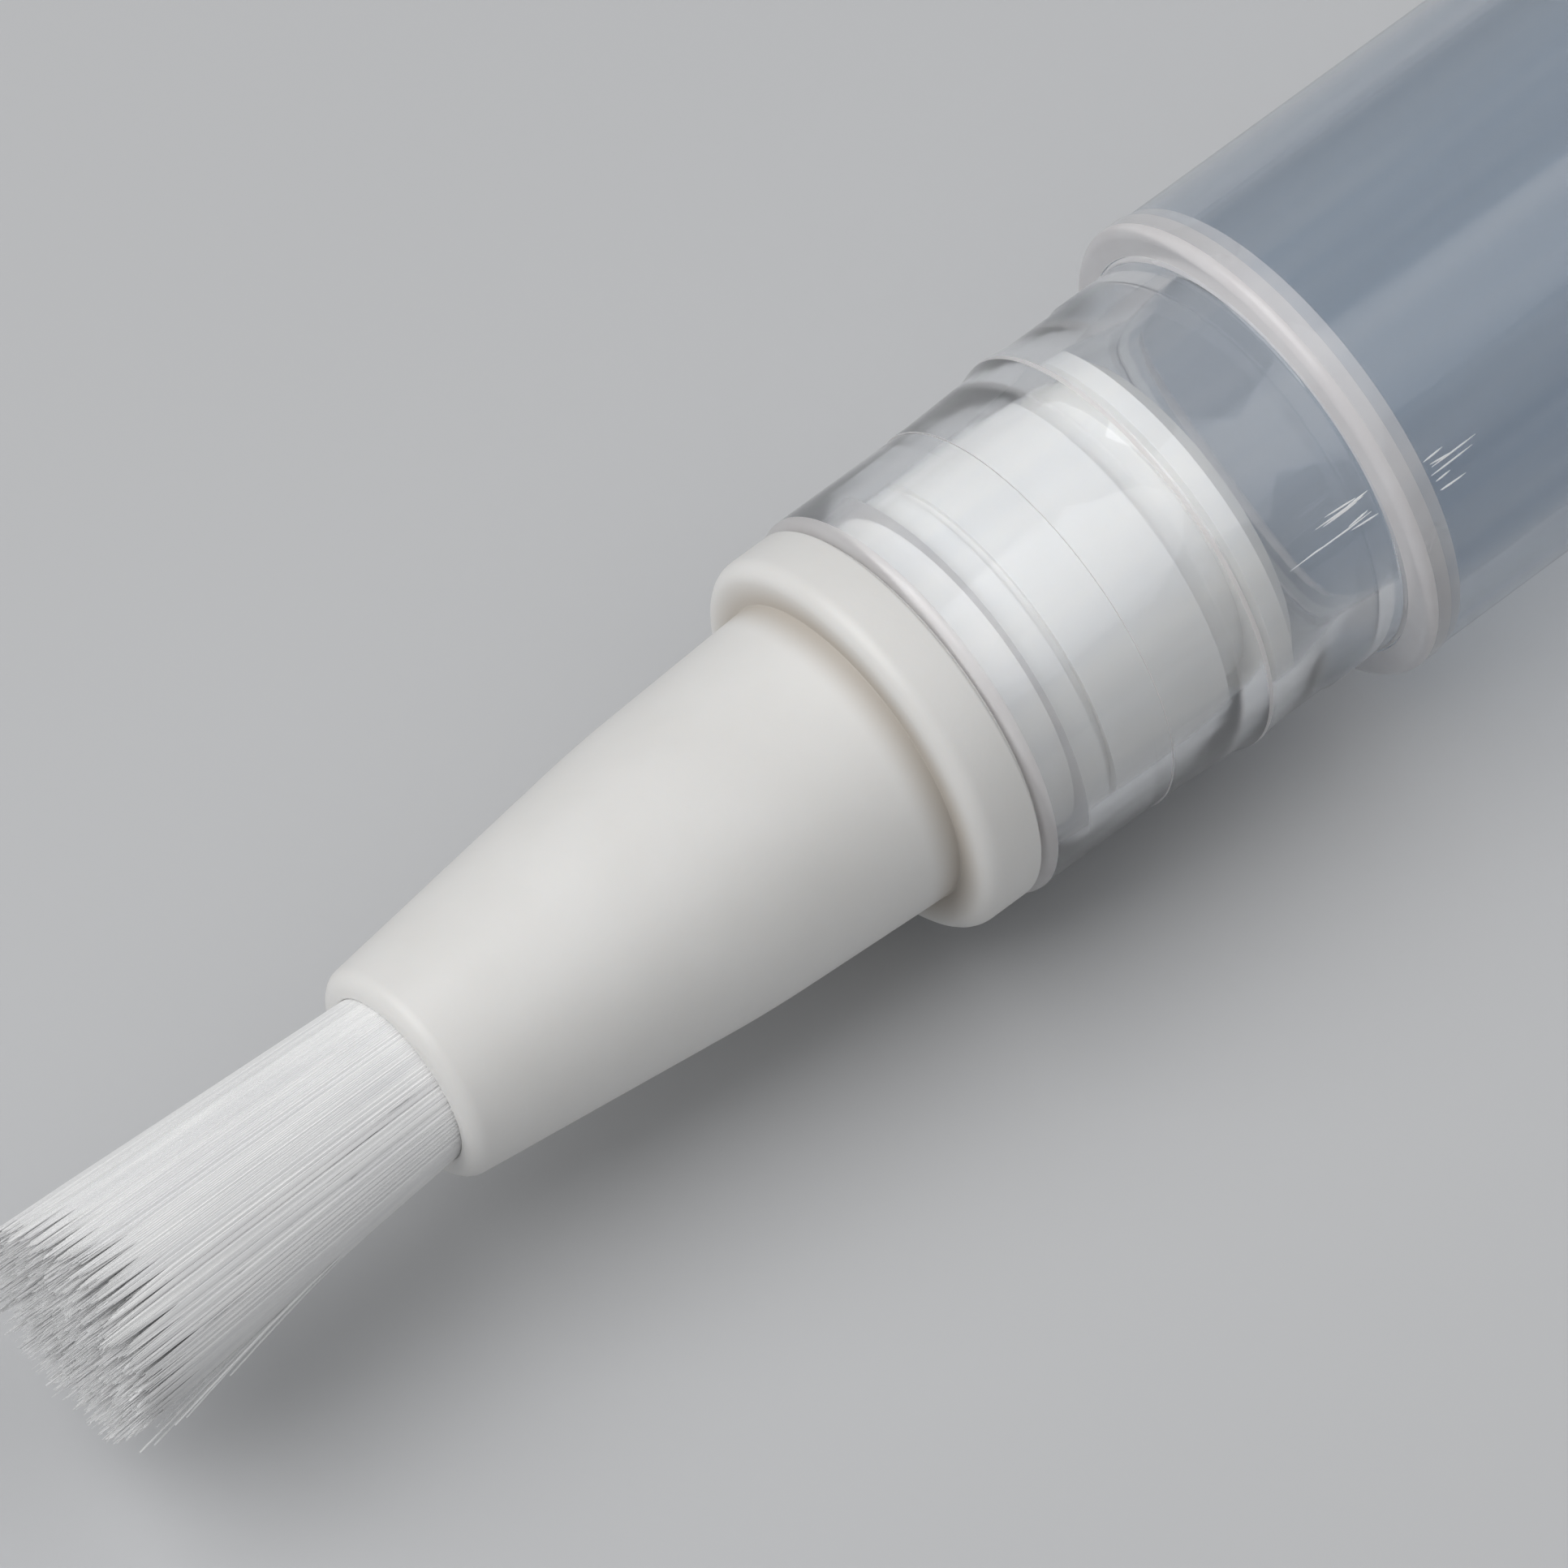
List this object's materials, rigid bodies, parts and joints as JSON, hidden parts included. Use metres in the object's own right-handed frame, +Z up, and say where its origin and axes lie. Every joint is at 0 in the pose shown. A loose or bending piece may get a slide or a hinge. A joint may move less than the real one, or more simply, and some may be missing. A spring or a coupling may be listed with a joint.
{
  "type": "nail oil pen",
  "caption": "Clear twist pen for nail oil, uncapped: turning the rear knob screws a rod and piston forward and feeds oil through a white nozzle into a nylon brush.",
  "frame": {"origin": "on the surface that the pen lies on, below the middle of the length from the pulled-off cap's end to the knob's end", "axes": "+X along the pen's axis from the brush to the knob, +Z up from the surface"},
  "size_m": [0.184, 0.0112, 0.0111],
  "materials": {
    "clear_plastic": "clear moulded polypropylene, faintly blue, glossy",
    "white_plastic": "white moulded polypropylene, satin",
    "nylon_bristle": "fine white nylon filament",
    "piston_plastic": "soft white polyethylene, satin",
    "spring_steel": "bright spring wire"
  },
  "bodies": {
    "barrel": {"barrel": "clear_plastic", "brush_nozzle": "white_plastic", "bristle_tuft": "nylon_bristle", "feed_tube": "white_plastic", "rod_nut": "white_plastic", "guide_sleeve": "white_plastic"},
    "knob": {"knob": "clear_plastic", "drive_tube": "white_plastic", "ratchet_ring": "white_plastic", "click_spring": "spring_steel"},
    "push_rod": {"push_rod": "white_plastic"},
    "piston": {"piston": "piston_plastic"},
    "cap": {"cap": "clear_plastic"}
  },
  "joints": [
    {"name": "knob_turn", "type": "hinge", "parent": "barrel", "child": "knob", "pos_m": [0.0825, 0, 0.00557], "axis": [-1, 0, 0], "range_deg": [0, 3600]},
    {"name": "rod_advance", "type": "slide", "parent": "knob", "child": "push_rod", "axis": [-1, 0, 0], "range_m": [0, 0.04]},
    {"name": "piston_advance", "type": "slide", "parent": "barrel", "child": "piston", "axis": [-1, 0, 0], "range_m": [0, 0.04]},
    {"name": "cap_pull", "type": "slide", "parent": "barrel", "child": "cap", "axis": [1, 0, 0], "range_m": [0, 0.04321]}
  ],
  "couplings": [
    {"joint": "knob_turn", "follows": "rod_advance", "rad_per_m": 1570.8},
    {"joint": "piston_advance", "follows": "rod_advance", "ratio": 1}
  ]
}
